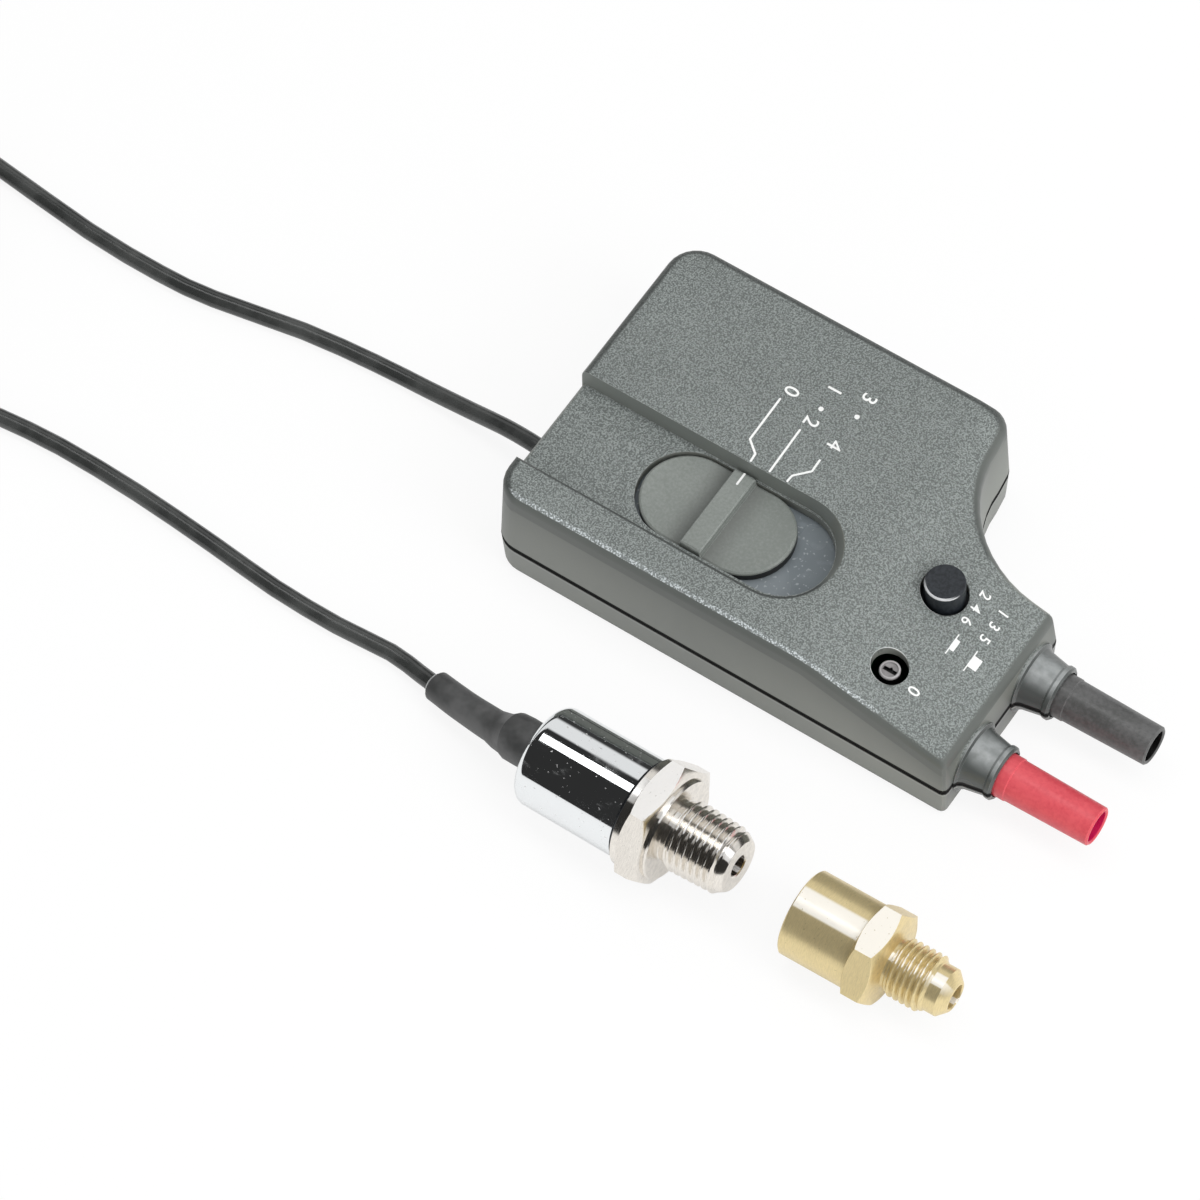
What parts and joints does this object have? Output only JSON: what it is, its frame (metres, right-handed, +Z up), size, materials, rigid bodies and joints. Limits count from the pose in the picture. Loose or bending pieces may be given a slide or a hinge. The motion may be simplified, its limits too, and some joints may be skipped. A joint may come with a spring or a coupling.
{
  "type": "pressure and vacuum module",
  "caption": "Handheld pressure and vacuum module: grey housing with slide switch and shrouded banana plugs, cable to a steel transducer, and a loose brass flare adapter.",
  "frame": {"origin": "centre of the housing's bottom face, in the plane the part rests on", "axes": "+X from the cable end to the plug end, +Y from the near side to the far side, +Z up"},
  "size_m": [0.2853, 0.1097, 0.0254],
  "materials": {
    "housing": "fine grained grey moulding",
    "slider": "smooth satin grey",
    "bed": "smooth dark blue-grey",
    "black_plastic": "satin",
    "shroud_black": "satin",
    "shroud_red": "satin",
    "white_plastic": "satin",
    "board": "solder resist",
    "rubber": "matte",
    "cable": "soft satin",
    "steel": "plain",
    "polished": "mirror polished",
    "nickel": "bright nickel plate",
    "brass": "turned",
    "battery_wrap": "printed sleeve, left plain"
  },
  "bodies": {
    "case": {"top_shell": "housing", "bottom_shell": "housing", "slide_bed": "bed", "slide_switch_body": "black_plastic", "circuit_board": "board", "amplifier_chip": "black_plastic", "cable_header": "white_plastic", "battery": "battery_wrap", "battery_snap": "black_plastic", "button_switch": "black_plastic", "trimmer_body": "black_plastic", "plug_shroud_black": "shroud_black", "plug_shroud_red": "shroud_red", "plug_pin_black": "nickel", "plug_pin_red": "nickel", "cable_grommet": "rubber", "cable_to_coil": "cable", "cable_coil": "cable", "coil_tie": "black_plastic", "cable_to_transducer": "cable", "heat_shrink_boot": "rubber", "transducer_can": "polished", "pressure_port": "nickel", "sensor_cell": "steel", "sensor_board": "board", "brass_adapter": "brass", "case_screw_1": "steel", "case_screw_2": "steel", "case_screw_3": "steel", "case_screw_4": "steel", "board_screw_1": "steel", "board_screw_2": "steel"},
    "slide": {"slide_knob": "slider", "slide_switch_lever": "black_plastic"},
    "button": {"push_button": "black_plastic"},
    "zero": {"zero_rotor": "white_plastic"}
  },
  "joints": [
    {"name": "slide_travel", "type": "slide", "parent": "case", "child": "slide", "axis": [1, 0, 0], "range_m": [0, 0.0077]},
    {"name": "button_travel", "type": "slide", "parent": "case", "child": "button", "axis": [0, 0, -1], "range_m": [0, 0.0025]},
    {"name": "zero_turn", "type": "hinge", "parent": "case", "child": "zero", "pos_m": [0.0306, -0.022, 0.015], "axis": [0, 0, 1], "range_deg": [-130, 130]}
  ]
}
